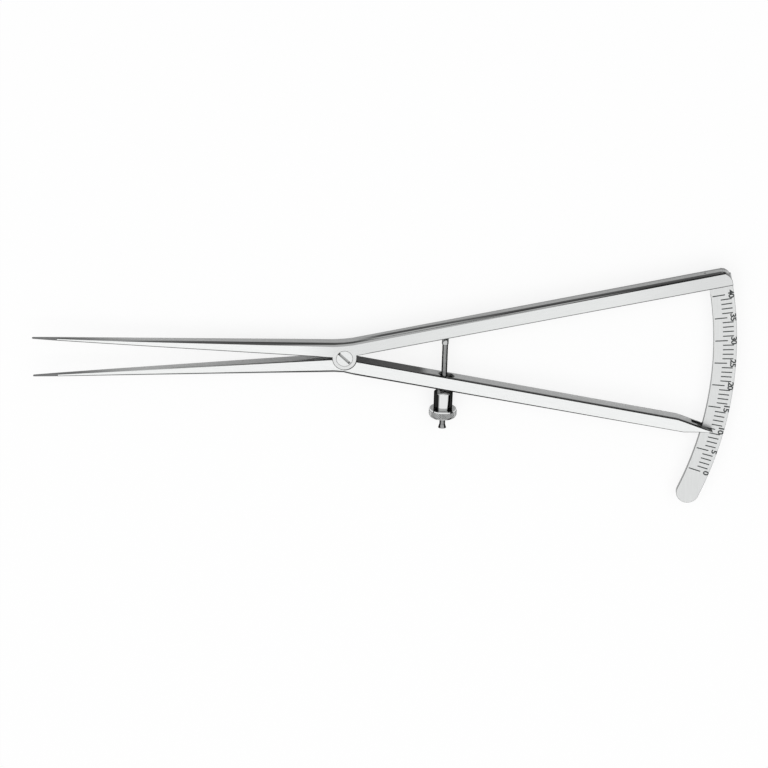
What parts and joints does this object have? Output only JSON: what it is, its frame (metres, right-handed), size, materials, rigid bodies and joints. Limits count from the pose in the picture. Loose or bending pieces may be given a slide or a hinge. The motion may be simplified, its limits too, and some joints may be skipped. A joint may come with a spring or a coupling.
{
  "type": "surgical caliper",
  "caption": "Screw-adjusted measuring caliper with needle tips, a lap-jointed pair of levers, a swinging spindle with a knurled nut and an arc scale read by a forked index.",
  "frame": {"origin": "on the pivot's axis, in the plane of the levers' flat backs", "axes": "+X from the pivot towards the scale, midway between the two arms at rest; +Y towards the fixed arm; +Z out of the graduated front face"},
  "size_m": [0.1796, 0.0645, 0.0073],
  "materials": {
    "satin_steel": "fine satin stainless steel",
    "scale_steel": "matt satin stainless steel with dark graduations",
    "polished_steel": "mirror-polished stainless steel"
  },
  "bodies": {
    "fixed_body": {"fixed_lever": "satin_steel", "scale_plate": "scale_steel", "scale_pin": "polished_steel", "spindle_pin": "polished_steel"},
    "pointer_body": {"pointer_lever": "satin_steel", "pivot_screw": "polished_steel"},
    "spindle_body": {"spindle": "polished_steel"},
    "sleeve_body": {"thrust_sleeve": "polished_steel"},
    "nut_body": {"knurled_nut": "polished_steel"}
  },
  "joints": [
    {"name": "arm_pivot", "type": "hinge", "parent": "fixed_body", "child": "pointer_body", "pos_m": [0, 0, 0], "axis": [0, 0, 1], "range_deg": [-7.1, 22.04]},
    {"name": "spindle_swing", "type": "hinge", "parent": "fixed_body", "child": "spindle_body", "pos_m": [0.02578, 0.00694, 0.00217], "axis": [0, 0, 1], "range_deg": [-3.55, 11.02]},
    {"name": "nut_travel", "type": "slide", "parent": "spindle_body", "child": "sleeve_body", "axis": [0.0196, 0.9998, 0], "range_m": [-0.00325, 0.0101]},
    {"name": "nut_spin", "type": "hinge", "parent": "sleeve_body", "child": "nut_body", "pos_m": [0.02536, -0.01455, 0.00217], "axis": [0.0196, 0.9998, 0], "range_deg": [-3347.82, 10386.25]}
  ],
  "couplings": [
    {"joint": "spindle_swing", "follows": "arm_pivot", "ratio": 0.5},
    {"joint": "nut_travel", "follows": "arm_pivot", "m_per_rad": 0.02624},
    {"joint": "nut_spin", "follows": "arm_pivot", "ratio": 471.06}
  ]
}
